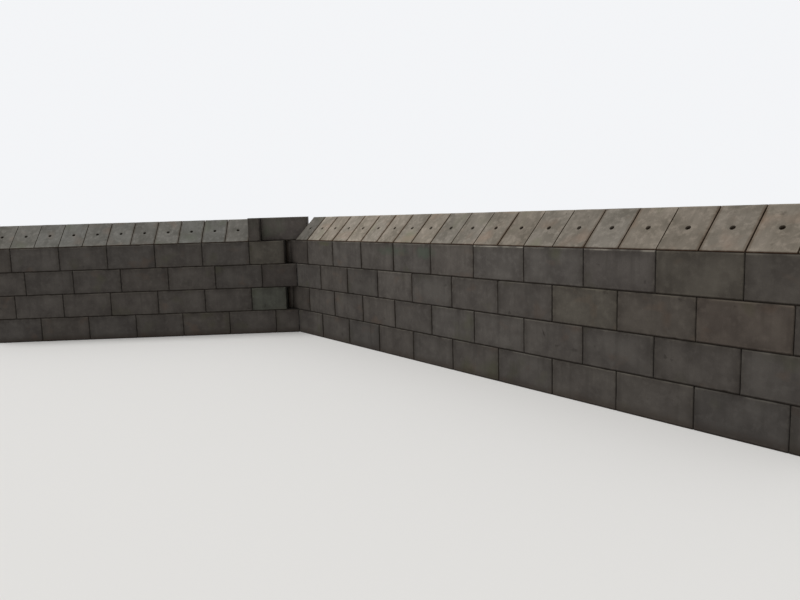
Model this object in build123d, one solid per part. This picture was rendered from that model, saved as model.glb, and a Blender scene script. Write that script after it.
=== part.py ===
from build123d import *
import os

# Interlocking precast concrete block wall: two straight wings that meet at a blunt inside corner.
# Dry-laid blocks stand four courses high on their own weight, keyed by nibs on each block's top
# that enter sockets in the underside of what lies on it, and sloped cap blocks finish the top.
# All lengths are in millimetres and +Z is up.

# Module of the block family
module_length = 1600
module_depth = 800
course_height = 800
open_joint = 8
edge_chamfer = 15

# Blocks are cut from the module, so that every course breaks joint with the one below
full_block = module_length
long_block = module_length * 3 / 4
half_block = module_length / 2
quarter_block = module_length / 4

# Nibs and the sockets that they enter, on one grid over the whole wall
nib_pitch = quarter_block
nib_base = 200
nib_height = 70
nib_taper = 26
socket_clearance = 10

# Sloped cap block and the round recess for lifting it
cap_length = half_block
cap_height = 775
cap_lip = 25
cap_crest = 30
recess_diameter = 100
recess_depth = 70

# Layout of the wall
inside_corner_angle = 124.5
crossing_reach = quarter_block
keyed_from_corner = 2400
keyed_from_end = 800

# Blocks of each course from the corner outwards, one inner list for each bay
bay = [full_block, full_block]
right_odd_course = [bay, bay, bay, bay, [full_block, full_block, half_block]]
right_even_course = [[long_block, full_block, full_block], bay, bay, bay, bay]
left_first_course = [[half_block, full_block, full_block], bay, bay]
left_even_course = [[long_block, full_block, full_block], bay, [full_block, half_block]]
left_third_course = [[long_block, full_block, full_block], bay, [full_block, long_block]]
right_caps = [[cap_length] * 4] * 4 + [[cap_length] * 5]
left_caps = [[cap_length] * 4, [cap_length] * 4, [cap_length] * 3]

# Each course as the distance from the corner where it starts, and its bays
right_courses = [
    (0, right_odd_course),
    (-crossing_reach, right_even_course),
    (0, right_odd_course),
    (-crossing_reach, right_even_course),
]
left_courses = [
    (0, left_first_course),
    (crossing_reach, left_even_course),
    (0, left_third_course),
    (crossing_reach, left_even_course),
]
left_caps_start = crossing_reach + long_block
wall_height = course_height * len(right_courses)

# The right wing runs along +X from the corner. The left wing is turned about the corner,
# and its blocks run the other way, from the corner to lower x.
corner_turn = 180 - inside_corner_angle
wings = {"right": Location((0, 0, 0)), "left": Location((0, 0, 0), (0, 0, corner_turn))}
wing_lengths = {"right": sum(map(sum, right_caps)), "left": left_caps_start + sum(map(sum, left_caps))}

# Distance from the corner at which the keys of the lower beds and of the cap bed begin.
# Nearer the corner the nibs are off, because blocks of both wings cross there.
lower_keys_start = {"right": 0, "left": crossing_reach}
cap_keys_start = {"right": 0, "left": left_caps_start - quarter_block}


def is_keyed(side, bed, distance):
    """Whether a nib stands at this distance from the corner, on top of course number bed."""
    if bed == len(right_courses):
        return distance > cap_keys_start[side]
    near_corner = lower_keys_start[side] < distance < keyed_from_corner
    return near_corner or distance > wing_lengths[side] - keyed_from_end


def keyed_columns(side, bed, start, length):
    """Places along a block, from its end at lower x, of the keys that it has in this bed."""
    columns = [(number + 0.5) * nib_pitch for number in range(round(length / nib_pitch))]
    keyed = [column for column in columns if is_keyed(side, bed, start + column)]
    return tuple(keyed if side == "right" else [length - column for column in keyed])


def keys(base, height, columns, level):
    """Truncated square pyramids in two rows, standing on z = level."""
    key = extrude(Rectangle(base, base), amount=height, taper=nib_taper)
    rows = [nib_pitch / 2, module_depth - nib_pitch / 2]
    return [Pos(column, row, level) * key for column in columns for row in rows]


def add_keys(body, nib_columns, socket_columns):
    """Nibs on a block's top, and sockets in its underside with the clearance all round."""
    if nib_columns:
        body += keys(nib_base, nib_height, nib_columns, course_height)
    if socket_columns:
        socket_base = nib_base + 2 * socket_clearance
        body -= keys(socket_base, nib_height + socket_clearance, socket_columns, 0)
    return body


def block(length, depth=module_depth):
    """Block body with its front and back outlines chamfered, less half a joint at each end."""
    middle = Pos(length / 2, module_depth - depth / 2, course_height / 2)
    body = middle * Box(length - open_joint, depth, course_height)
    outlines = body.faces().sort_by(Axis.Y)
    return chamfer(outlines[0].edges() + outlines[-1].edges(), edge_chamfer)


def cap():
    """Sloped cap block, low at the wall's face and high at its back."""
    profile = Polyline(
        (0, 0),
        (module_depth, 0),
        (module_depth, cap_height),
        (module_depth - cap_crest, cap_height),
        (0, cap_lip),
        close=True,
    )
    section = Plane.YZ * make_face(profile)
    body = Pos(open_joint / 2, 0, 0) * extrude(section, amount=cap_length - open_joint)
    slope_run = module_depth - cap_crest
    slope_middle = (cap_length / 2, slope_run / 2, (cap_lip + cap_height) / 2)
    slope = Plane(slope_middle, x_dir=(1, 0, 0), z_dir=(0, cap_lip - cap_height, slope_run))
    return body - slope * lifting_recess()


def lifting_recess():
    """Round recess that goes down from z = 0, with the space above its mouth."""
    return Cylinder(recess_diameter / 2, 2 * recess_depth)


def flat_topped_block(length):
    """Plain block without nibs, with its lifting recess in the middle of its top."""
    return block(length) - Pos(length / 2, module_depth / 2, course_height) * lifting_recess()


made = {}


def keyed_block(make_body, length, nib_columns, socket_columns):
    """Block of this kind with its keys. Each kind is made once and then copied."""
    kind = (make_body, length, nib_columns, socket_columns)
    if kind not in made:
        body = cap() if make_body is cap else make_body(length)
        made[kind] = add_keys(body, nib_columns, socket_columns)
    return made[kind]


def lay_course(side, number, start, bays, make_body=block):
    """Lay a course of blocks outwards from its start, and return one list of solids for each bay."""
    laid = []
    for lengths in bays:
        solids = []
        for length in lengths:
            has_nibs = make_body is block
            nibs = keyed_columns(side, number, start, length) if has_nibs else ()
            sockets = keyed_columns(side, number - 1, start, length) if number > 1 else ()
            x = start if side == "right" else -start - length
            place = wings[side] * Pos(x, 0, (number - 1) * course_height)
            solids.append(place * keyed_block(make_body, length, nibs, sockets))
            start += length
        laid.append(solids)
    return laid


nodes = {}
for side, courses in (("right", right_courses), ("left", left_courses)):
    for number, (start, bays) in enumerate(courses, 1):
        for bay_number, solids in enumerate(lay_course(side, number, start, bays), 1):
            nodes[f"{side}_bay_{bay_number}_course_{number}"] = solids

# Cut closers fill the slots that the crossing leaves open in the even courses. They stand at the
# back of the left wing, one open joint clear of the blocks on both sides.
along = Vector(1, 0, 0).rotate(Axis.Z, corner_turn)
slot_reach = crossing_reach + open_joint / 2 * (1 - along.X)
closer_depth = module_depth - slot_reach / along.Y
closer_places = [Pos(-quarter_block, 0, level * course_height) for level in (1, 3)]
closer = block(quarter_block, closer_depth)
nodes["corner_closers"] = [wings["left"] * place * closer for place in closer_places]

cap_course = len(right_courses) + 1
for side, start, bays in (("right", 0, right_caps), ("left", left_caps_start, left_caps)):
    for bay_number, solids in enumerate(lay_course(side, cap_course, start, bays, cap), 1):
        nodes[f"{side}_bay_{bay_number}_caps"] = solids

# Flat-topped blocks close the corner beside the caps. The short one is in line with the left wing.
quarter_start = left_caps_start - quarter_block
quarter_bays = lay_course("left", cap_course, quarter_start, [[quarter_block]], flat_topped_block)
nodes["corner_quarter_block"] = quarter_bays[0]

# The long one starts where the short one ends, and stands back from the face until its front
# corner is one open joint clear of the first cap of the right wing.
plain_end = full_block - quarter_start - open_joint / 2
set_back = (plain_end * along.X + open_joint) / along.Y
plain_place = wings["left"] * Pos(-quarter_start, set_back, wall_height)
nodes["corner_plain_block"] = [plain_place * flat_topped_block(full_block)]

# The origin is the middle of the footprint's box, at the foot of the wall
boxes = [solid.bounding_box() for solids in nodes.values() for solid in solids]
middle_x = (min(box.min.X for box in boxes) + max(box.max.X for box in boxes)) / 2
middle_y = (min(box.min.Y for box in boxes) + max(box.max.Y for box in boxes)) / 2
to_origin = Pos(-middle_x, -middle_y, 0)

os.makedirs("parts", exist_ok=True)
for name, solids in nodes.items():
    export_step(Compound(children=[to_origin * solid for solid in solids]), f"parts/{name}.step")
print("nodes", len(nodes), "solids", len(boxes))
print("inside corner at", -middle_x, -middle_y, "plain block set back", set_back)
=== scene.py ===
import math
import bpy
import numpy as np
from mathutils import Matrix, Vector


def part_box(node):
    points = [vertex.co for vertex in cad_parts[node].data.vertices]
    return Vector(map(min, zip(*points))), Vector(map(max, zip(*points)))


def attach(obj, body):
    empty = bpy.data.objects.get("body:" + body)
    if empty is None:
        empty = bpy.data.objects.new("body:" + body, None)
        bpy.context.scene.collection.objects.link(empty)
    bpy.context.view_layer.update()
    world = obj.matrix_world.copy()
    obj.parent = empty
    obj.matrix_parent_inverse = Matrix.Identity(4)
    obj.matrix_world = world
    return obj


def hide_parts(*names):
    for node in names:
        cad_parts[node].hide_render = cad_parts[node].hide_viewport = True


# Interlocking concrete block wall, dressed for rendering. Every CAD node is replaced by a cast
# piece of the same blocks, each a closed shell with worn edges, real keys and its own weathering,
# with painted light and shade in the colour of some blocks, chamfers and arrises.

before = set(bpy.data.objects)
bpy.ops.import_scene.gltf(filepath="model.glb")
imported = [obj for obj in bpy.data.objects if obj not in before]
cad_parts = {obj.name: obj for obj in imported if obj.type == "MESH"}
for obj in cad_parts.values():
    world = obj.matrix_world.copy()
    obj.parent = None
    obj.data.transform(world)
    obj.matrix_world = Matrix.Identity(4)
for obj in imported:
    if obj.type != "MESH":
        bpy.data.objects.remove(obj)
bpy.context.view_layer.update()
rng = np.random.default_rng(41)
print("frame loaded:", len(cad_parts), "nodes")

# Layout, in metres, on the module of the CAD blocks
wall = {
    "module": 1.6,
    "depth": 0.8,
    "courseHeight": 0.8,
    "openJoint": 0.008,
    "cornerTurn": math.radians(55.5),  # how far the left wing turns at the inside corner
}
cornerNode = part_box("right_bay_1_course_1")[0]
insideCorner = np.array([cornerNode.x - wall["openJoint"] / 2, cornerNode.y, 0.0])

full, long, half, quarter = (wall["module"] * share for share in (1, 0.75, 0.5, 0.25))
bay = [full, full]
courseRows = {  # for each wing and course, where it starts from the corner and its blocks by bay
    "right": [
        (0, [bay, bay, bay, bay, [full, full, half]]),
        (-quarter, [[long, full, full], bay, bay, bay, bay]),
        (0, [bay, bay, bay, bay, [full, full, half]]),
        (-quarter, [[long, full, full], bay, bay, bay, bay]),
    ],
    "left": [
        (0, [[half, full, full], bay, bay]),
        (quarter, [[long, full, full], bay, [full, half]]),
        (0, [[long, full, full], bay, [full, long]]),
        (quarter, [[long, full, full], bay, [full, half]]),
    ],
}
capRows = {
    "right": (0, [[half] * 4] * 4 + [[half] * 5]),
    "left": (full, [[half] * 4, [half] * 4, [half] * 3]),
}
topCourse = len(courseRows["right"])
capCourse = topCourse + 1
wingLengths = {wing: start + sum(map(sum, bays)) for wing, (start, bays) in capRows.items()}
keysBegin = {"right": (0, 0), "left": (quarter, full - quarter)}  # in the lower beds, in the cap bed


def placeOnWing(wing, points):
    # turns points of a wing's own frame about the inside corner, then moves them to the corner
    turn = wall["cornerTurn"] if wing == "left" else 0.0
    x = points[:, 0] * math.cos(turn) - points[:, 1] * math.sin(turn)
    y = points[:, 0] * math.sin(turn) + points[:, 1] * math.cos(turn)
    return np.stack([x, y, points[:, 2]], axis=1) + insideCorner


def ramp(value, begin, end):
    # 0 at the first value, 1 at the second and straight between them; the second may be the smaller
    return np.clip((value - begin) / (end - begin), 0, 1)


def nearness(distance, width):
    # 1 on a side of the block, falling straight to 0 at the width
    return ramp(distance, width, 0)


# Shell of a block: the outside of a box lattice, so that all six faces share their seams
def latticeShell(nx, ny, nz):
    # numbers the lattice points that lie on the outside once, and lists the quads of the six faces
    i, j, k = np.meshgrid(np.arange(nx), np.arange(ny), np.arange(nz), indexing="ij")
    outside = (i == 0) | (i == nx - 1) | (j == 0) | (j == ny - 1) | (k == 0) | (k == nz - 1)
    number = np.full((nx, ny, nz), -1)
    number[outside] = np.arange(outside.sum())
    sheets = [
        (number[0], True), (number[-1], False),
        (number[:, 0], False), (number[:, -1], True),
        (number[:, :, 0], True), (number[:, :, -1], False),
    ]
    quads = []
    for sheet, turned in sheets:
        ring = [sheet[:-1, :-1], sheet[1:, :-1], sheet[1:, 1:], sheet[:-1, 1:]]
        quads.append(np.stack([c.ravel() for c in (ring[::-1] if turned else ring)], axis=1))
    return i[outside], j[outside], k[outside], np.concatenate(quads)


def spacedLines(fixedLines, widestGap):
    # each gap between two neighbouring lines is cut into equal parts no wider than widestGap
    fixedLines = np.array(sorted(fixedLines))
    parts = []
    for low, high in zip(fixedLines, fixedLines[1:]):
        cuts = max(1, math.ceil((high[1] - low[1]) / widestGap - 1e-6))
        parts.append(np.linspace(low, high, cuts + 1)[:-1])
    return np.concatenate(parts + [fixedLines[-1:]])


# Shape of the blocks. The rings of an edge are pairs of depth from the side and inset there.
blockShape = {
    "faceRings": [(0.0, 0.018), (0.003, 0.0115), (0.0115, 0.003), (0.018, 0.0)],
    "endRings": [(0.0, 0.006), (0.0018, 0.0018), (0.006, 0.0)],
    "capRingScale": 0.5,
    "gapAlong": 0.085,  # widest spacing of the lattice's lines
    "gapUp": 0.085,
    "capGapFactor": 2.5,
    "gapAcross": 0.14,
    "setBack": 0.005,
}
capShape = {
    "lip": 0.025,
    "height": 0.775,
    "crest": 0.030,
    "crestRounding": (0.012, 0.008),  # before and behind the crest's front edge
    "frontSetBack": 0.010,
}
keyShape = {
    "nibLines": (0.100, 0.066),  # half widths at foot and top
    "socketLines": (0.110, 0.071),
    "nibHeight": 0.070,
    "socketDepth": 0.080,
    "rows": (0.2, 0.6),
    "tolerance": 0.002,
}
recessShape = {
    "radius": [0, 0.020, 0.040, 0.0485, 0.050, 0.0515, 0.0545],
    "depth": [0.068, 0.068, 0.068, 0.062, 0.007, 0.0015, 0],
    "lineStep": 0.0095,
    "soilDepth": 0.03,
}
recessRings = len(recessShape["radius"]) - 1
chipShape = {"count": (3, 8), "reach": (0.035, 0.075), "bite": (0.004, 0.013)}
rippleShape = {
    "height": 0.0035,
    "fade": 0.1,  # the ripples of a side die out this far inside the block
    "endLength": 1.3,
    "faceLength": 1.5,
    "slopeLength": 0.9,
    "shorter": 0.7,  # each sine has more waves than the one before, by this share of the first one's
    "weaker": 0.6,
    "highest": 1.6,  # sum of the sines that counts as the full height
}
# inside the wall the ends bulge until they nearly touch, so that no light falls through the joint
coreShape = {"bulge": 0.0035, "fromFace": (0.03, 0.055), "underSlope": (0.04, 0.08)}

# How much each end of a block is short of the CAD block, which opens the joints unevenly, and the
# factors on it at distances from the corner. The caps' joints close towards the crest, and it is
# halved at the tight joints of the right wing's caps, which are told by their distance too.
extraJoint = {("right", "cap"): (0.010, 0.016), ("left", "cap"): (0.002, 0.006)}
usualJoint = (0.0, 0.0025)
capJointRun = ([3, 10, 14], [1.6, 1, 0.6])
rightJointRun = ([10, 14], [1, 0.2])
capJointPinch = (0.02, 0.10)  # distances from the back, where it is shut and where it is open in full
tightJoints = (8.0, 8.8, 10.4, 11.2, 13.6)
tightFactor = 0.5

# Dirt and wear of the blocks, with painted shade in their chamfers and a painted highlight on their
# upper arrises. In a pair of distances from a side, a strength is 0 at the first and full at the
# second. A run holds distances from the corner and the strengths there.
dirtAndPaintedLight = {
    "band": 0.022,  # how far the dirt and painted shade of a joint reach, just past the chamfer
    "wornBand": 0.055,  # width of the worn band beside an edge
    # the bed's chamfers, and the inner halves of the others, are painted dark as shade
    "onChamfer": (0.048, 0.018),
    "innerHalf": (0.0032, 0.0112),
    "endWhole": {"right": ([4, 11], [0.9, 0.0]), "left": ([0], [0.5])},
    "endInner": {"right": ([10, 14], [0.75, 0.35]), "left": ([0], [0.6])},
    "topWhole": ([0], [0.6]),
    "topWholeUnderCaps": ([9, 11], [0.60, 0.40]),
    "shadeReach": 0.16,  # the darkening of the face beside the joints fades out this far from them
    "endShade": 0.35,
    "bedShade": 0.22,
    "topShade": 0.28,
    # painted highlight on the upper arris of every block, whose chamfer faces up to the light
    "upperArris": {"width": 0.008, "strength": 0.6},
    # painted shadow on the closers' fronts beside the left wing's block
    "closerEnd": (0.08, 0.05),
    "closerFront": (0.6, 0.3),  # as shares of its depth
}
# blocks under the caps of the right wing with a stronger painted highlight on their upper arris, by where
# they start
paleArrises = {"starts": (8.8, 12.0), "dirtAndPaintedLight": (0.012, 0.018), "width": 0.016, "strength": 3.0}
# the caps' dark lip, bed edge and ends, and the painted highlight on their crests and upper arrises
capDirtAndHighlight = {
    "endReach": 0.055,
    "endReachRun": (4, 8),  # between these distances from the corner it narrows to the ends' chamfer
    "dirtyJoints": (4.8, 5.6, 9.6, 12.0, 12.8, 14.4, 15.2),  # the right wing's that stay dirty
    "endStrength": 0.70,
    "lip": 0.010,
    "crestFront": (-0.010, -0.002),
    "crestStrength": 0.8,
    "arrisStrength": 0.6,
}


def edgeLines(size, rings):
    # lines beside both edges of an axis, as (at the foot, at the top) pairs that are alike
    near = [depth for depth, inset in rings] + [dirtAndPaintedLight["band"], dirtAndPaintedLight["wornBand"]]
    return [(d, d) for d in near] + [(size - d, size - d) for d in near[::-1]]


def keyLines(centres):
    # four lines for each key: a socket is wider than its nib, so each line leans a little
    lines = []
    for centre in centres:
        for socket, nib in zip(keyShape["socketLines"], keyShape["nibLines"]):
            lines += [(centre - socket, centre - nib), (centre + socket, centre + nib)]
    return lines


def gridColumns(length):
    # keys stand every quarter block
    return [(n + 0.5) * quarter for n in range(round(length / quarter))]


def blockForm(block):
    # a block with its measures, and the places of its keys and recess measured on its own body
    isCap = block["kind"] == "cap"
    depth = block.get("depth", wall["depth"])
    bodyLength = block["length"] - wall["openJoint"]
    slopeRun = depth - capShape["crest"]
    slopeRise = capShape["height"] - capShape["lip"]
    scale = blockShape["capRingScale"] if isCap else 1.0
    halfJoint = wall["openJoint"] / 2
    columns = gridColumns(block["length"]) if block["kind"] in ("block", "cap", "flat") else []
    return {
        **block,
        "isCap": isCap,
        "isRight": block["wing"] == "right",
        "depth": depth,
        "height": capShape["height"] if isCap else wall["courseHeight"],
        "bodyLength": bodyLength,
        "ringScale": scale,
        "faceRings": [(d * scale, inset * scale) for d, inset in blockShape["faceRings"]],
        "slopeRun": slopeRun,
        "slopeAngle": math.atan2(slopeRise, slopeRun) if isCap else 0.0,
        "hasRecess": block["kind"] in ("cap", "flat", "plain"),
        "recessAlong": bodyLength / 2,
        "recessAcross": (slopeRun if isCap else depth) / 2,
        "columns": [c - halfJoint for c in columns],
        "nibs": [c - halfJoint for c in block["nibs"]],
        "sockets": [c - halfJoint for c in block["sockets"]],
        "joints": [round(block["start"] + along, 1) for along in (0, block["length"])],
    }


def blockLines(form):
    # the lattice's lines along, across and up a block, as its edges, keys, recess and crest need them
    alongLines = edgeLines(form["bodyLength"], blockShape["endRings"]) + keyLines(form["columns"])
    acrossLines = edgeLines(form["depth"], form["faceRings"])
    acrossLines += keyLines(keyShape["rows"] if form["columns"] else [])
    if form["hasRecess"]:
        steps = np.arange(-recessRings, recessRings + 1) * recessShape["lineStep"]
        alongLines += [(form["recessAlong"] + s,) * 2 for s in steps]
        acrossLines += [(form["recessAcross"] + s * math.cos(form["slopeAngle"]),) * 2 for s in steps]
    if form["isCap"]:
        acrossLines += [(form["slopeRun"],) * 2]
    gapUp = blockShape["gapUp"] * (blockShape["capGapFactor"] if form["isCap"] else 1)
    alongLines = spacedLines(alongLines, blockShape["gapAlong"])
    acrossLines = spacedLines(acrossLines, blockShape["gapAcross"])
    upLines = spacedLines(edgeLines(form["height"], [(0.0, 0.0)]), gapUp)[:, 1]
    return alongLines, acrossLines, upLines


def ringInset(count, rings):
    # inset of the outline on each line of an axis: rings at both ends and none between
    inset = np.zeros(count)
    values = np.array([value for depth, value in rings])
    inset[: len(values)] = values
    inset[count - len(values):] = values[::-1]
    return inset


def knockChips(form, x, y, z, topLevel):
    # depth knocked off the outlines of the face and the back: each chip is a round dip, its bite
    # times exp(-(distance / reach) squared), about a spot on one of the outline's four sides
    chipped = np.zeros(len(x))
    for knock in range(rng.integers(*chipShape["count"])):
        side = rng.integers(0, 4)
        along = rng.uniform(0, 1)
        chipX = form["bodyLength"] * (along if side < 2 else side - 2)
        chipZ = topLevel * (side if side < 2 else along)
        chipY = form["depth"] * rng.integers(0, 2)
        reach = rng.uniform(*chipShape["reach"])
        bite = rng.uniform(*chipShape["bite"]) * form["ringScale"]
        away = (x - chipX) ** 2 + (z - chipZ) ** 2 + (y - chipY) ** 2
        chipped += bite * np.exp(-away / reach**2)
    return chipped


def withinKeys(x, y, columns, halfWidth):
    # points inside a key's inner lines, both along the block and across it
    within = []
    for position, centres in ((x, columns), (y, keyShape["rows"])):
        near = np.zeros(len(position), bool)
        for centre in centres:
            near |= np.abs(position - centre) < halfWidth + keyShape["tolerance"]
        within.append(near)
    return within[0] & within[1]


def ripples(a, b, phases, longest):
    # sum of five sines of a and b, each in its own direction, shorter and weaker than the one
    # before, scaled to run from 0 to 1: number n has (1 + 0.7 n) waves in the longest length, and
    # its strength is divided by (1 + 0.6 n)
    total = 0
    for step, (direction, phase, strength) in enumerate(phases):
        k = 2 * math.pi * (1 + rippleShape["shorter"] * step) / longest
        wave = np.sin(k * (math.cos(direction) * a + math.sin(direction) * b) + phase)
        total = total + wave / (1 + rippleShape["weaker"] * step) * strength
    return 0.5 + 0.5 * np.clip(total / rippleShape["highest"], -1, 1)


def ripplePhases():
    # direction, phase and strength of the five sines
    return rng.uniform((0, 0, 0.5), (math.pi, 2 * math.pi, 1.0), (5, 3))


def endGaps(form):
    # how far the two ends stand back from the CAD block's
    gaps = rng.uniform(*extraJoint.get((form["wing"], form["kind"]), usualJoint), 2)
    if form["isCap"]:
        isTight = [form["isRight"] and at in tightJoints for at in form["joints"]]
        return gaps * np.interp(form["start"], *capJointRun) * np.where(isTight, tightFactor, 1.0)
    return gaps * np.interp(form["start"], *rightJointRun) if form["isRight"] else gaps


def blockWear(form, x, y, toJoint, toFace, fromBed, toTop):
    # dirt and painted shade in the joints round a block, and the painted highlight of its upper arrises:
    # the bed's chamfers are painted dark in full as shade, the others' inner halves are dark and their
    # outer halves weaker, and the face is a little darker beside the joints
    underCaps = form["course"] == topCourse
    isPale = form["isRight"] and underCaps and round(form["start"], 1) in paleArrises["starts"]
    onChamfer = ramp(toFace, *dirtAndPaintedLight["onChamfer"])
    innerHalf = onChamfer * ramp(toFace, *dirtAndPaintedLight["innerHalf"])
    inner = np.interp(form["start"], *dirtAndPaintedLight["endInner"][form["wing"]])
    whole = np.interp(form["start"], *dirtAndPaintedLight["endWhole"][form["wing"]])
    atEnds = np.maximum(inner * innerHalf, whole * onChamfer)
    whole = np.interp(form["start"], *dirtAndPaintedLight["topWholeUnderCaps" if underCaps else "topWhole"])
    atTop = np.maximum(innerHalf, whole * onChamfer)
    if isPale:
        atTop = ramp(toFace, *paleArrises["dirtAndPaintedLight"]) * onChamfer
    jointDirtAndShade = np.zeros(len(x))
    for distance, onSide in ((fromBed, onChamfer), (toJoint, atEnds), (toTop, atTop)):
        jointDirtAndShade = np.maximum(jointDirtAndShade, nearness(distance, dirtAndPaintedLight["band"]) * onSide)
    for distance, shade in ((toJoint, "endShade"), (fromBed, "bedShade"), (toTop, "topShade")):
        softShade = dirtAndPaintedLight[shade] * nearness(distance, dirtAndPaintedLight["shadeReach"])
        jointDirtAndShade = np.maximum(jointDirtAndShade, softShade)
    # painted shadow on the closer's front beside the left wing's block
    if form["kind"] == "closer":  # its front is black beside the left wing's block
        toFront = ramp(y / form["depth"], *dirtAndPaintedLight["closerFront"])
        jointDirtAndShade = np.maximum(jointDirtAndShade, ramp(x, *dirtAndPaintedLight["closerEnd"]) * toFront)
    # painted highlight on the upper arris
    pale = paleArrises if isPale else dirtAndPaintedLight["upperArris"]
    upperHighlight = pale["strength"] * nearness(toTop, dirtAndPaintedLight["band"]) * nearness(toFace, pale["width"])
    return {"upperHighlight": upperHighlight, "endBrown": np.zeros(len(x)), "jointDirtAndShade": jointDirtAndShade}


def capWear(form, x, y, toEnd, toJoint, onBed, onTop):
    # the lip, the bed's edge and the ends of a cap are dark, and its crest and upper arrises carry a
    # painted highlight
    endRim = blockShape["endRings"][-1][0]
    usualReach = np.interp(form["start"], capDirtAndHighlight["endReachRun"], [capDirtAndHighlight["endReach"], endRim])
    isDirty = [form["isRight"] and at in capDirtAndHighlight["dirtyJoints"] for at in form["joints"]]
    reaches = np.where(isDirty, capDirtAndHighlight["endReach"], usualReach)
    endDirt = nearness(toJoint, np.where(x < form["bodyLength"] / 2, *reaches))
    onCrest = ramp(y - form["slopeRun"], *capDirtAndHighlight["crestFront"])
    onArris = np.isclose(toEnd, endRim)
    # painted highlight on the crest and on the upper arrises at the ends
    pale = np.maximum(capDirtAndHighlight["crestStrength"] * onCrest, capDirtAndHighlight["arrisStrength"] * onArris)
    jointDirtAndShade = np.maximum(nearness(y, capDirtAndHighlight["lip"]), onBed)
    return {"upperHighlight": pale * onTop, "endBrown": capDirtAndHighlight["endStrength"] * endDirt, "jointDirtAndShade": jointDirtAndShade}


def recessPlaces(form, a, b):
    # the recess's square rings of lattice points, counted from its middle along and across, become
    # circles that step down to a flat floor: where a is the wider count the angle is an eighth turn
    # times b / a, elsewhere a quarter turn less an eighth turn times a / b, plus half a turn where
    # the wider count is negative
    ring = np.maximum(np.abs(a), np.abs(b))
    wide = np.abs(a) >= np.abs(b)
    eighths = np.where(wide, b / np.where(a == 0, 1, a), 2 - a / np.where(b == 0, 1, b))
    angle = math.pi / 4 * eighths + math.pi * (np.where(wide, a, b) < 0)
    radius, sunk = (np.array(recessShape[key])[ring] for key in ("radius", "depth"))
    slopeSin, slopeCos = math.sin(form["slopeAngle"]), math.cos(form["slopeAngle"])
    level = form["height"]
    if form["isCap"]:
        level = (capShape["lip"] + capShape["height"] - rippleShape["height"]) / 2
    upSlope = radius * np.sin(angle)
    return (
        form["recessAlong"] + radius * np.cos(angle),
        form["recessAcross"] + upSlope * slopeCos + sunk * slopeSin,
        level + upSlope * slopeSin - sunk * slopeCos,
        ramp(sunk, 0, recessShape["soilDepth"]),
    )


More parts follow.
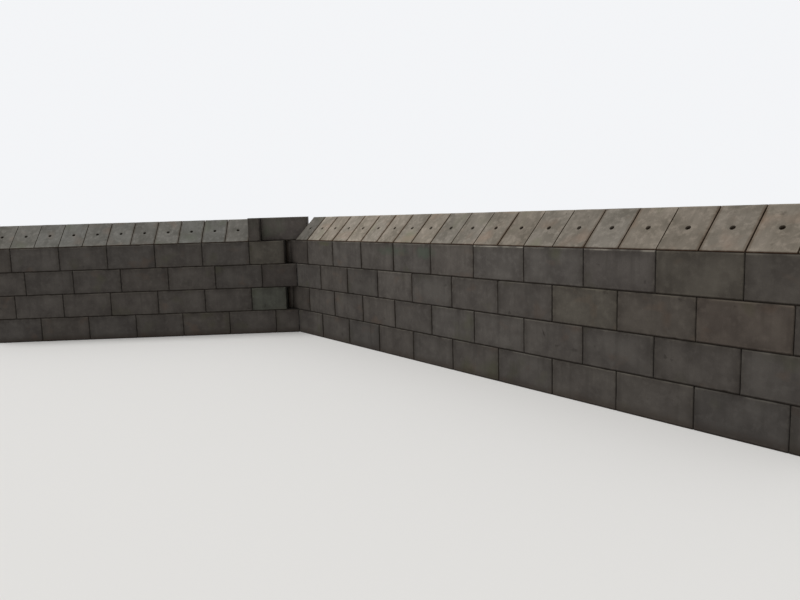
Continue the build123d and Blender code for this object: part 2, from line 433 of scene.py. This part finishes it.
def castShell(block):
    # one block in its own frame: x along it, y back from its face, z up from its bed. A point is a
    # function of its three lattice numbers: its place on the lines, less the inset of its ring and
    # the chips, then drawn in to the ends' gaps and the faces' set-backs, moved by the ripples, and
    # raised over a key. The points of the recess have places of their own.
    form = blockForm(block)
    isCap, length, depth = form["isCap"], form["bodyLength"], form["depth"]
    alongLines, acrossLines, upLines = blockLines(form)
    i, j, k, quads = latticeShell(len(alongLines), len(acrossLines), len(upLines))
    onTop, onBed = k == len(upLines) - 1, k == 0
    w = upLines[k] / form["height"]
    x = alongLines[i, 0] + (alongLines[i, 1] - alongLines[i, 0]) * w
    y = acrossLines[j, 0] + (acrossLines[j, 1] - acrossLines[j, 0]) * w
    ceiling = np.full(len(x), form["height"])
    if isCap:
        before, behind = capShape["crestRounding"]
        turns = [0, form["slopeRun"] - before, form["slopeRun"] + behind, depth]
        levels = [capShape["lip"], form["height"] - before, form["height"], form["height"]]
        ceiling = np.interp(y, turns, levels)
    z = w * ceiling

    # the outlines are inset at the edges and chipped
    chipped = knockChips(form, x, y, z, ceiling.max())
    faceInset = ringInset(len(acrossLines), form["faceRings"])[j]
    faceInset = faceInset + np.where(faceInset > 0, chipped, 0)
    outlineInset = np.maximum(faceInset, ringInset(len(alongLines), blockShape["endRings"])[i])

    # an edge is where two sides are near, so the wear follows the second nearest of the three; the
    # free end of a wing has no joint, so it is clean and doesn't bulge
    toEnd, toFace = np.minimum(x, length - x), np.minimum(y, depth - y)
    fromBed, toTop = w * form["height"], (1 - w) * form["height"]
    worn = [nearness(d, dirtAndPaintedLight["wornBand"]) for d in (toEnd, toFace, np.minimum(fromBed, toTop))]
    isLast = block["start"] + block["length"] > wingLengths[block["wing"]] - wall["openJoint"]
    onFreeEnd = isLast & ((x > length / 2) == form["isRight"])
    toJoint = np.where(onFreeEnd, length, toEnd)
    own = {"placeInBlock": np.stack([x, y, z], axis=1), "edgeWear": np.sort(np.stack(worn), axis=0)[1]}
    if isCap:
        own.update(capWear(form, x, y, toEnd, toJoint, onBed, onTop))
    else:
        own.update(blockWear(form, x, y, toJoint, toFace, fromBed, toTop))

    # faces and ends stand back a little and ripples press them in, so that only the bulge of the
    # ends, deep inside the joints, goes past the CAD block
    front, back = rng.uniform(0, blockShape["setBack"], 2)
    front += capShape["frontSetBack"] if isCap else 0
    left, right = endGaps(form)
    core = ramp(toFace, *coreShape["fromFace"]) * ~onFreeEnd
    gapShare = 1 - core
    if isCap:
        core = core * ramp((1 - w) * ceiling, *coreShape["underSlope"])
        gapShare = (1 - core) * ramp(depth - y, *capJointPinch)
    height, fade = rippleShape["height"], rippleShape["fade"]
    endRipples = height * ripples(y, z, ripplePhases(), rippleShape["endLength"])
    faceRipples = height * ripples(x, z, ripplePhases(), rippleShape["faceLength"])
    backRipples = height * ripples(x, z, ripplePhases(), rippleShape["faceLength"])
    newX = faceInset + (length - 2 * faceInset) * x / length
    newX += gapShare * (left - newX * (left + right) / length)
    pressed = (endRipples * (1 - core) - coreShape["bulge"] * core) * nearness(toEnd, fade)
    newX += pressed * np.where(x < length / 2, 1, -1)
    newY = front + (depth - front - back) * y / depth
    newY += faceRipples * nearness(y, fade) - backRipples * nearness(depth - y, fade)
    newZ = outlineInset + (ceiling - 2 * outlineInset) * w
    if isCap:
        slopeRipples = height * ripples(x, y, ripplePhases(), rippleShape["slopeLength"])
        newZ -= slopeRipples * onTop * ramp(ceiling, 0, fade)

    # the points inside a key's inner lines are raised, and the quads out to its outer ones are flanks
    isNib = withinKeys(x, y, form["nibs"], keyShape["nibLines"][1]) & onTop
    isSocket = withinKeys(x, y, form["sockets"], keyShape["socketLines"][1]) & onBed
    newZ += keyShape["nibHeight"] * isNib + keyShape["socketDepth"] * isSocket

    own["soil"] = np.zeros(len(x))
    if form["hasRecess"]:
        a = i - np.argmin(np.abs(alongLines[:, 1] - form["recessAlong"]))
        b = j - np.argmin(np.abs(acrossLines[:, 1] - form["recessAcross"]))
        inside = onTop & (np.maximum(np.abs(a), np.abs(b)) <= recessRings)
        sunk = recessPlaces(form, a[inside], b[inside])
        for values, places in zip((newX, newY, newZ, own["soil"]), sunk):
            values[inside] = places
    return np.stack([newX + wall["openJoint"] / 2, newY, newZ], axis=1), quads, own


# Tints of single blocks, where they differ from their neighbours: wing, course, start. A few are painted
# shade, marked below.
plainTint = (1.0, 1.0, 1.0)
tintsAndPaintedShade = {
    ("right", 4, 12.0): (0.91, 0.91, 0.93),
    ("right", 4, 13.6): (0.92, 0.90, 0.82),
    ("right", 4, 15.2): (0.90, 0.90, 0.88),
    ("right", 3, 14.4): (1.12, 1.04, 0.98),
    ("right", 3, 12.8): (1.05, 1.02, 0.97),
    ("right", 3, 11.2): (1.06, 1.07, 1.00),
    ("right", 3, 4.8): (1.27, 1.26, 1.25),
    ("right", 4, 2.4): (1.14, 1.14, 1.14),
    ("right", 1, 11.2): (1.16, 1.16, 1.15),
    ("right", 1, 12.8): (1.14, 1.14, 1.13),
    ("right", 1, 14.4): (1.12, 1.12, 1.12),
    # painted shade on the right wing's blocks in the recess at the corner
    ("right", 2, -0.4): (0.72, 0.69, 0.66),
    ("right", 4, -0.4): (0.65, 0.62, 0.60),
    ("left", 2, 0.4): (1.06, 1.19, 1.08),
    ("left", 4, 0.4): (1.12, 1.14, 1.06),
    ("left", 3, 0.0): (0.84, 0.81, 0.80),
    # painted shadow of the plain block on the first right cap
    ("right", 5, 0.0): (0.50, 0.52, 0.54),
    ("right", 5, 4.0): (1.12, 1.11, 1.11),
    ("left", 5, 3.2): (0.92, 0.94, 0.95),
}
tintSpread = {"block": 0.05, "cap": 0.065, "flat": 0.02, "plain": 0.02, "closer": 0.02}
warmthShare = 0.35
# Tints by wing and kind: painted shade darkens the left wing's blocks, flats and caps, painted light
# brightens the closers deep in their slots, and the left plain block is a little paler.
paintedLightAndShadeByKind = {  # the left wing is shaded
    ("left", "block"): (0.785, 0.785, 0.79),
    ("left", "flat"): (0.80, 0.78, 0.78),
    ("left", "plain"): (1.10, 1.07, 1.10),
    ("left", "cap"): (0.63, 0.69, 0.75),
    ("left", "closer"): (1.70, 1.68, 1.66),
}
# painted light and shade: how the right wing's tone runs from the corner to its end, and how each course
# stands to the others
paintedLightAndShadeAlong = {
    "block": ([0, 3, 8, 12, 16], [0.96, 0.84, 0.985, 0.87, 0.775]),
    "cap": ([0, 3, 8, 12, 16], [1.10, 1.20, 0.87, 0.84, 0.77]),
}
paintedLightAndShadeByCourse = [0.845, 0.965, 0.97, 1.11, 1.0]


def tintWithPaintedLight(wing, course, start, kind):
    # the block's own tint times its kind's and its place's, which carry painted light and shade, and a
    # little brighter or warmer by chance
    tint = np.array(tintsAndPaintedShade.get((wing, course, round(start, 1)), plainTint))
    spread = tintSpread[kind]
    brightness = 1 + rng.uniform(-spread, spread)
    warmth = rng.uniform(-spread, spread) * warmthShare
    tint = tint * paintedLightAndShadeByKind.get((wing, kind), plainTint)
    if wing == "right":
        tint = tint * np.interp(start, *paintedLightAndShadeAlong[kind]) * paintedLightAndShadeByCourse[course - 1]
    return tint * brightness * np.array([1 + warmth, 1, 1 - warmth])


def makeCasting(name, node, blocks, material):
    # joins the blocks' shells into one mesh, with each block's own place, seed and tint, painted light and
    # shade included, on its points
    pointList, quadList, count = [], [], 0
    extras = {}
    for block in blocks:
        points, quads, own = castShell(block)
        points = points + np.array([block["x"], block["y"], block["z"]])
        pointList.append(placeOnWing(block["wing"], points))
        quadList.append(quads + count)
        count += len(points)
        tint = tintWithPaintedLight(block["wing"], block["course"], block["start"], block["kind"])
        own["blockSeed"] = np.full(len(points), rng.uniform(0, 1))
        own["tintWithPaintedLight"] = np.tile(np.append(tint, 1.0), (len(points), 1))
        for key, values in own.items():
            extras.setdefault(key, []).append(values)
    mesh = bpy.data.meshes.new(name)
    mesh.from_pydata(np.concatenate(pointList), [], np.concatenate(quadList))
    kinds = {"placeInBlock": ("FLOAT_VECTOR", "vector"), "tintWithPaintedLight": ("FLOAT_COLOR", "color")}
    for key, values in extras.items():
        dataType, field = kinds.get(key, ("FLOAT", "value"))
        layer = mesh.attributes.new(key, dataType, "POINT")
        layer.data.foreach_set(field, np.concatenate(values).astype(np.float32).ravel())
    mesh.shade_smooth()
    mesh.set_sharp_from_angle(angle=math.radians(32))
    mesh.materials.append(material)
    piece = bpy.data.objects.new(name, mesh)
    bpy.context.scene.collection.objects.link(piece)
    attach(piece, "root")
    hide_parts(node)
    return piece


# Concrete, from Object coordinates and each block's own place
def linear(red, green, blue):
    # a colour of 0 to 255 as light values
    values = np.array([red, green, blue]) / 255
    return (*np.where(values <= 0.04045, values / 12.92, ((values + 0.055) / 1.055) ** 2.4), 1.0)


def addNode(tree, kind, inputs, **settings):
    made = tree.nodes.new(kind)
    for key, value in settings.items():
        setattr(made, key, value)
    for socket, value in inputs.items():
        if isinstance(value, bpy.types.NodeSocket):
            tree.links.new(value, made.inputs[socket])
        else:
            made.inputs[socket].default_value = value
    return made


def attribute(tree, name, field):
    return addNode(tree, "ShaderNodeAttribute", {}, attribute_name=name).outputs[field]


def noise(tree, vector, scale, detail, roughness):
    inputs = {"Vector": vector, "Scale": scale, "Detail": detail, "Roughness": roughness}
    return addNode(tree, "ShaderNodeTexNoise", inputs).outputs["Fac"]


def remap(tree, value, low, high, toLow=0.0, toHigh=1.0):
    inputs = {"Value": value, "From Min": low, "From Max": high, "To Min": toLow, "To Max": toHigh}
    return addNode(tree, "ShaderNodeMapRange", inputs, clamp=True).outputs["Result"]


def maths(tree, operation, first, second):
    return addNode(tree, "ShaderNodeMath", {0: first, 1: second}, operation=operation).outputs[0]


def vectorMaths(tree, operation, first, second):
    return addNode(tree, "ShaderNodeVectorMath", {0: first, 1: second}, operation=operation).outputs[0]


def blendColour(tree, factor, first, second, mode="MIX"):
    inputs = {0: factor, 6: first, 7: second}
    return addNode(tree, "ShaderNodeMix", inputs, data_type="RGBA", blend_type=mode).outputs[2]


wallConcrete = {
    "base": linear(92, 87, 82),
    "dark": linear(76, 71, 67),
    "pale": linear(108, 103, 98),
    "olive": linear(84, 82, 68),
    "brown": linear(98, 84, 74),
    "edge": linear(134, 128, 118),
    "stain": linear(56, 52, 48),
    "endBrown": linear(35, 28, 21),
    "joint": linear(35, 28, 21),
    "soil": linear(58, 47, 38),
    "streakScale": (3.4, 3.4, 0.25),
    "blotches": 0.40,
    "streaks": 0.31,
    "olivePatches": (0.60, 0.75),
    "brownPatches": (0.62, 0.80),
    "footSoil": 0.44,
}
cornerConcrete = {
    **wallConcrete,
    "base": linear(90, 86, 80),
    "olive": linear(82, 85, 73),
    "olivePatches": (0.54, 0.74),
}
capConcrete = {
    "base": linear(138, 130, 119),
    "dark": linear(114, 107, 96),
    "pale": linear(168, 158, 146),
    "olive": linear(126, 123, 104),
    "brown": linear(146, 126, 110),
    "edge": linear(170, 161, 147),
    "stain": linear(84, 78, 68),
    "endBrown": linear(69, 42, 6),
    "joint": linear(51, 28, 5),
    "soil": linear(60, 43, 27),
    "streakScale": (4.0, 0.6, 0.6),
    "blotches": 0.62,
    "streaks": 0.32,
    "olivePatches": (0.59, 0.78),
    "brownPatches": (0.57, 0.78),
    "footSoil": 0.0,
}

# What the three concretes share. A noise has its scale, detail and roughness. A cut says where in
# the noise it begins and ends and, unless they are 0 and 1 or a concrete's own, the strengths there.
skin = {
    "seedShift": (37.0, 91.0, 53.0),  # moves the pattern of each block by its seed
    "large": (1.7, 3.0, 0.55),
    "clouds": (7.0, 5.0, 0.62),
    "speckle": (60.0, 4.0, 0.7),
    "streaks": (1.6, 4.0, 0.6),
    "patches": (0.95, 2.0, 0.55),
    "otherPatches": (1.3, 2.0, 0.55),
    "otherStretch": (1.0, 1.0, 1.4),
    "scuffs": (4.2, 3.0, 0.5),
    "holeScale": 26.0,
    "darkCut": (0.35, 0.65),
    "paleCut": (0.48, 0.72),
    "oliveStrength": 0.85,
    "brownStrength": 0.8,
    "streakCut": (0.50, 0.68),
    "streaksByHeight": (0.0, 0.8, 0.45, 1.0),
    "scuffCut": (0.70, 0.76, 0.0, 0.55),
    "holeCut": (0.05, 0.13, 1.0, 0.0),
    "holesInClouds": (0.50, 0.58),
    "holeStrength": 0.6,
    "grain": (0.3, 0.7, 0.93, 1.06),
    "edgeCut": (0.42, 0.62, 0.0, 0.18),
    "dirtAndShadeCut": (0.35, 0.65, 1.0, 0.85),
    "upperHighlightCut": (0.40, 0.62, 0.05, 0.70),
    "splashWaver": -0.35,
    "splashHeights": (-0.12, 0.03),
    "recessSoil": 0.9,
    "relief": {"large": 2.0, "clouds": 0.8, "speckle": 0.35, "holes": 0.6},
    "bumpStrength": 0.55,
    "bumpDistance": 0.006,
    "roughness": (0.3, 0.7, 0.80, 0.95),
    "specular": 0.25,
}

# Marks on the right wing's face, in metres from the corner and the ground: middle, half sizes,
# lean, colour and strength. The green ones are algae under the caps, the others are scuffs.
faceMarks = [
    {"at": (10.97, 1.34), "reach": (0.035, 0.14), "lean": 0.42, "tone": (52, 47, 44), "strength": 0.75},
    {"at": (11.80, 1.08), "reach": (0.10, 0.045), "lean": 0.0, "tone": (60, 56, 52), "strength": 0.55},
    {"at": (7.78, 2.16), "reach": (0.07, 0.05), "lean": 0.3, "tone": (58, 54, 50), "strength": 0.5},
    {"at": (2.79, 0.26), "reach": (0.10, 0.06), "lean": 0.0, "tone": (58, 54, 50), "strength": 0.5},
    {"at": (5.55, 2.98), "reach": (0.75, 0.17), "lean": 0.0, "tone": (78, 86, 74), "strength": 0.6},
    {"at": (7.00, 2.97), "reach": (0.45, 0.20), "lean": 0.0, "tone": (78, 88, 76), "strength": 0.6},
    {"at": (1.90, 3.12), "reach": (0.45, 0.10), "lean": 0.0, "tone": (88, 88, 66), "strength": 0.6},
]
markOutline = {"thickness": 0.1, "cut": (0.35, 1.0), "ragged": (0.3, 0.7, -0.35, 0.35)}


def markFactor(tree, worldSpot, clouds, mark):
    # full in the middle and 0 at an ellipsoid round it, whose outline the clouds make ragged
    middle = insideCorner + np.array([mark["at"][0], 0.0, mark["at"][1]])
    away = vectorMaths(tree, "SUBTRACT", worldSpot, tuple(float(v) for v in middle))
    inputs = {"Vector": away, "Angle": mark["lean"]}
    turned = addNode(tree, "ShaderNodeVectorRotate", inputs, rotation_type="Y_AXIS").outputs[0]
    reach = (1 / mark["reach"][0], 1 / markOutline["thickness"], 1 / mark["reach"][1])
    scaled = vectorMaths(tree, "MULTIPLY", turned, reach)
    distance = addNode(tree, "ShaderNodeVectorMath", {0: scaled}, operation="LENGTH").outputs["Value"]
    distance = maths(tree, "ADD", distance, remap(tree, clouds, *markOutline["ragged"]))
    return remap(tree, distance, *markOutline["cut"], mark["strength"], 0.0)


def makeConcrete(name, look, marks):
    material = bpy.data.materials.new(name)
    material.use_nodes = True
    tree = material.node_tree
    tree.nodes.clear()
    place = attribute(tree, "placeInBlock", "Vector")
    seed = attribute(tree, "blockSeed", "Fac")
    offset = vectorMaths(tree, "MULTIPLY", seed, skin["seedShift"])
    spot = vectorMaths(tree, "ADD", place, offset)
    worldSpot = addNode(tree, "ShaderNodeTexCoord", {}).outputs["Object"]
    worldUp = addNode(tree, "ShaderNodeSeparateXYZ", {0: worldSpot}).outputs["Z"]
    up = addNode(tree, "ShaderNodeSeparateXYZ", {0: place}).outputs["Z"]

    # blotches of the mix, large soft ones and then smaller clouds
    large = noise(tree, spot, *skin["large"])
    clouds = noise(tree, spot, *skin["clouds"])
    speckle = noise(tree, spot, *skin["speckle"])
    colour = blendColour(tree, remap(tree, large, *skin["darkCut"]), look["dark"], look["base"])
    paleFactor = remap(tree, clouds, *skin["paleCut"], 0.0, look["blotches"])
    colour = blendColour(tree, paleFactor, colour, look["pale"])

    # algae and rust-brown tints in a few broad patches of each block
    patches = noise(tree, spot, *skin["patches"])
    olive = remap(tree, patches, *look["olivePatches"], 0.0, skin["oliveStrength"])
    colour = blendColour(tree, olive, colour, look["olive"])
    stretchedSpot = vectorMaths(tree, "MULTIPLY", spot, skin["otherStretch"])
    otherPatches = noise(tree, stretchedSpot, *skin["otherPatches"])
    brown = remap(tree, otherPatches, *look["brownPatches"], 0.0, skin["brownStrength"])
    colour = blendColour(tree, brown, colour, look["brown"])

    # rain streaks that start at the upper edge and thin out on the way down
    streaks = noise(tree, vectorMaths(tree, "MULTIPLY", spot, look["streakScale"]), *skin["streaks"])
    fromTop = remap(tree, up, *skin["streaksByHeight"])
    streakFactor = remap(tree, streaks, *skin["streakCut"], 0.0, look["streaks"])
    streakFactor = maths(tree, "MULTIPLY", streakFactor, fromTop)
    colour = blendColour(tree, streakFactor, colour, look["stain"])

    # small scuffs, and the blowholes that air leaves against the mould
    scuffs = remap(tree, noise(tree, spot, *skin["scuffs"]), *skin["scuffCut"])
    colour = blendColour(tree, scuffs, colour, look["stain"])
    cellInputs = {"Vector": spot, "Scale": skin["holeScale"]}
    cells = addNode(tree, "ShaderNodeTexVoronoi", cellInputs, feature="F1").outputs["Distance"]
    holes = remap(tree, cells, *skin["holeCut"])
    holes = maths(tree, "MULTIPLY", holes, remap(tree, clouds, *skin["holesInClouds"]))
    holeFactor = maths(tree, "MULTIPLY", holes, skin["holeStrength"])
    colour = blendColour(tree, holeFactor, colour, look["stain"])
    grain = remap(tree, speckle, *skin["grain"])
    colour = blendColour(tree, 1.0, colour, grain, "MULTIPLY")

    for mark in marks:
        factor = markFactor(tree, worldSpot, clouds, mark)
        colour = blendColour(tree, factor, colour, linear(*mark["tone"]))

    # a faint paler band of wear beside the edges, dirt and painted shade in the joints, and a painted
    # highlight on the upper arrises
    bands = [
        ("edgeWear", clouds, "edgeCut", "edge"),
        ("endBrown", clouds, "dirtAndShadeCut", "endBrown"),
        ("jointDirtAndShade", clouds, "dirtAndShadeCut", "joint"),
        ("upperHighlight", large, "upperHighlightCut", "edge"),
    ]
    for band, patchiness, cut, tone in bands:
        patchy = remap(tree, patchiness, *skin[cut])
        factor = maths(tree, "MULTIPLY", attribute(tree, band, "Fac"), patchy)
        colour = blendColour(tree, factor, colour, look[tone])

    # mud splashed on the foot of the wall, and dirt in the recesses
    splash = maths(tree, "ADD", worldUp, maths(tree, "MULTIPLY", clouds, skin["splashWaver"]))
    splash = remap(tree, splash, *skin["splashHeights"], look["footSoil"], 0.0)
    colour = blendColour(tree, splash, colour, look["soil"])
    soil = maths(tree, "MULTIPLY", attribute(tree, "soil", "Fac"), skin["recessSoil"])
    colour = blendColour(tree, soil, colour, look["soil"])
    # each block's tint, with its painted light and shade
    colour = blendColour(tree, 1.0, colour, attribute(tree, "tintWithPaintedLight", "Color"), "MULTIPLY")

    # skin of the casting: soft hollows, clouds and sand grain, less the blowholes
    relief = skin["relief"]
    height = maths(tree, "MULTIPLY", large, relief["large"])
    height = maths(tree, "ADD", height, maths(tree, "MULTIPLY", clouds, relief["clouds"]))
    height = maths(tree, "ADD", height, maths(tree, "MULTIPLY", speckle, relief["speckle"]))
    height = maths(tree, "SUBTRACT", height, maths(tree, "MULTIPLY", holes, relief["holes"]))
    bumpInputs = {"Height": height, "Strength": skin["bumpStrength"], "Distance": skin["bumpDistance"]}
    bump = addNode(tree, "ShaderNodeBump", bumpInputs).outputs["Normal"]
    shader = addNode(tree, "ShaderNodeBsdfPrincipled", {
        "Base Color": colour,
        "Roughness": remap(tree, clouds, *skin["roughness"]),
        "Normal": bump,
        "Specular IOR Level": skin["specular"],
    })
    addNode(tree, "ShaderNodeOutputMaterial", {"Surface": shader.outputs[0]})
    return material


materials = {
    "wall_block_concrete": makeConcrete("wallBlockConcrete", wallConcrete, faceMarks),
    "corner_block_concrete": makeConcrete("cornerBlockConcrete", cornerConcrete, []),
    "cap_block_concrete": makeConcrete("capBlockConcrete", capConcrete, []),
}
print("concrete ready:", ", ".join(materials))


# Every course of both wings, one casting for each CAD node
def keyColumns(wing, bed, start, length):
    # keys of a block in a bed, which are left out where the wings cross at the corner
    begins = keysBegin[wing][1 if bed == topCourse else 0]
    keyed = [c for c in gridColumns(length) if start + c > begins]
    return keyed if wing == "right" else [length - c for c in keyed]


def layCourse(wing, course, start, bays, kind):
    # lays a course outwards from its start, as one list of blocks for each bay
    laid = []
    for lengths in bays:
        blocks = []
        for length in lengths:
            blocks.append({
                "wing": wing, "course": course, "start": start, "length": length, "kind": kind,
                "nibs": keyColumns(wing, course, start, length) if kind == "block" else [],
                "sockets": keyColumns(wing, course - 1, start, length) if course > 1 else [],
                "x": start if wing == "right" else -start - length,
                "y": 0.0, "z": (course - 1) * wall["courseHeight"],
            })
            start += length
        laid.append(blocks)
    return laid


castings = []
for wing, rows in courseRows.items():
    for course, (start, bays) in enumerate(rows, 1):
        for number, blocks in enumerate(layCourse(wing, course, start, bays, "block"), 1):
            node = f"{wing}_bay_{number}_course_{course}"
            castings.append((node, blocks, "wall_block_concrete"))
for wing, (start, bays) in capRows.items():
    for number, blocks in enumerate(layCourse(wing, capCourse, start, bays, "cap"), 1):
        castings.append((f"{wing}_bay_{number}_caps", blocks, "cap_block_concrete"))

# the flat blocks of the corner: the short one is in line, the long one stands back from the face
quarterStart = full - quarter
quarterBlocks = layCourse("left", capCourse, quarterStart, [[quarter]], "flat")[0]
castings.append(("corner_quarter_block", quarterBlocks, "corner_block_concrete"))
turn = wall["cornerTurn"]
plainEnd = full - quarterStart - wall["openJoint"] / 2
setBack = (plainEnd * math.cos(turn) + wall["openJoint"]) / math.sin(turn)
plainBlock = {
    "wing": "left", "course": capCourse, "start": -quarter, "length": full, "kind": "plain",
    "nibs": [], "sockets": [],
    "x": -quarterStart, "y": setBack, "z": topCourse * wall["courseHeight"],
}
castings.append(("corner_plain_block", [plainBlock], "corner_block_concrete"))

# cut closers at the back of the left wing shut the slots that the crossing leaves in even courses
slotReach = quarter + wall["openJoint"] / 2 * (1 - math.cos(turn))
closerDepth = wall["depth"] - slotReach / math.sin(turn)
closers = [{
    "wing": "left", "course": level, "start": 0.0, "length": quarter, "depth": closerDepth,
    "kind": "closer", "nibs": [], "sockets": [],
    "x": -quarter, "y": wall["depth"] - closerDepth, "z": (level - 1) * wall["courseHeight"],
} for level in (2, 4)]
castings.append(("corner_closers", closers, "wall_block_concrete"))

triangles, furthest = 0, 0.0
for node, blocks, slot in castings:
    piece = makeCasting(node + "_cast", node, blocks, materials[slot])
    triangles += 2 * len(piece.data.polygons)
    corners = np.array(piece.bound_box)
    low, high = (np.array(c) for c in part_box(node))
    furthest = max(furthest, np.abs(corners.min(0) - low).max(), np.abs(corners.max(0) - high).max())
print("castings:", len(castings), "triangles:", triangles, "furthest from CAD:", round(float(furthest), 4))

# Studio: pale floor, soft light from above, camera where the photograph was taken
studio = {
    "floorSize": 160.0,
    "floorColour": (0.78, 0.77, 0.75, 1.0),
    "floorRoughness": 0.9,
    "skyColour": (0.90, 0.91, 0.93, 1.0),
    "lightColour": (1.0, 1.0, 1.0, 1.0),
    "ambient": 0.50,
    "sunStrength": 1.6,
    "sunTowards": (0.25, 0.25, -0.93),
    "sunSoftness": math.radians(32),
}
floorMaterial = bpy.data.materials.new("studioFloor")
floorMaterial.use_nodes = True
floorShader = floorMaterial.node_tree.nodes["Principled BSDF"]
floorShader.inputs["Base Color"].default_value = studio["floorColour"]
floorShader.inputs["Roughness"].default_value = studio["floorRoughness"]
edge = studio["floorSize"] / 2
floorMesh = bpy.data.meshes.new("studioFloor")
floorCorners = [(-edge, -edge, 0), (edge, -edge, 0), (edge, edge, 0), (-edge, edge, 0)]
floorMesh.from_pydata(floorCorners, [], [(0, 1, 2, 3)])
floorMesh.materials.append(floorMaterial)
floor = bpy.data.objects.new("studioFloor", floorMesh)
bpy.context.scene.collection.objects.link(floor)

world = bpy.data.worlds.new("studioSky")
bpy.context.scene.world = world
world.use_nodes = True
sky = world.node_tree
sky.nodes.clear()
isCamera = addNode(sky, "ShaderNodeLightPath", {}).outputs["Is Camera Ray"]
lightInputs = {"Color": studio["lightColour"], "Strength": studio["ambient"]}
light = addNode(sky, "ShaderNodeBackground", lightInputs)
seen = addNode(sky, "ShaderNodeBackground", {"Color": studio["skyColour"], "Strength": 1.0})
mixed = addNode(sky, "ShaderNodeMixShader", {0: isCamera, 1: light.outputs[0], 2: seen.outputs[0]})
addNode(sky, "ShaderNodeOutputWorld", {"Surface": mixed.outputs[0]})

# the sun shines down its own -Z
sunLight = bpy.data.lights.new("softSun", "SUN")
sunLight.energy = studio["sunStrength"]
sunLight.angle = studio["sunSoftness"]
sun = bpy.data.objects.new("softSun", sunLight)
backwards = -np.array(studio["sunTowards"]) / np.linalg.norm(studio["sunTowards"])
across = np.cross((0, 1, 0), backwards)
across /= np.linalg.norm(across)
sunMatrix = np.eye(4)
sunMatrix[:3, :3] = np.stack([across, np.cross(backwards, across), backwards], axis=1)
sun.matrix_world = Matrix(sunMatrix.tolist())
bpy.context.scene.collection.objects.link(sun)

cameraView = {
    "fromCorner": (20.3876, -11.0647, 3.998),
    "yaw": math.radians(142.718),
    "pitch": math.radians(7.409),
    "roll": math.radians(1.698),
    "focalPixels": 662.56,
    "frameWidth": 800,
    "sensorWidth": 36,
    "farClip": 400,
}
yaw, pitch, roll = (cameraView[k] for k in ("yaw", "pitch", "roll"))
forward = np.array([math.cos(yaw) * math.cos(pitch), math.sin(yaw) * math.cos(pitch), -math.sin(pitch)])
level = np.array([math.sin(yaw), -math.cos(yaw), 0.0])
down = np.cross(forward, level)
rightward = level * math.cos(roll) + down * math.sin(roll)
downward = -level * math.sin(roll) + down * math.cos(roll)
cameraMatrix = np.eye(4)
cameraMatrix[:3, :3] = np.stack([rightward, -downward, -forward], axis=1)
cameraMatrix[:3, 3] = insideCorner + np.array(cameraView["fromCorner"])
cameraData = bpy.data.cameras.new("photoCamera")
cameraData.sensor_width = cameraView["sensorWidth"]
cameraData.lens = cameraView["sensorWidth"] * cameraView["focalPixels"] / cameraView["frameWidth"]
cameraData.clip_end = cameraView["farClip"]
camera = bpy.data.objects.new("photoCamera", cameraData)
camera.matrix_world = Matrix(cameraMatrix.tolist())
bpy.context.scene.collection.objects.link(camera)
bpy.context.scene.camera = camera
bpy.context.scene.view_settings.view_transform = "Standard"
print("studio and camera ready")
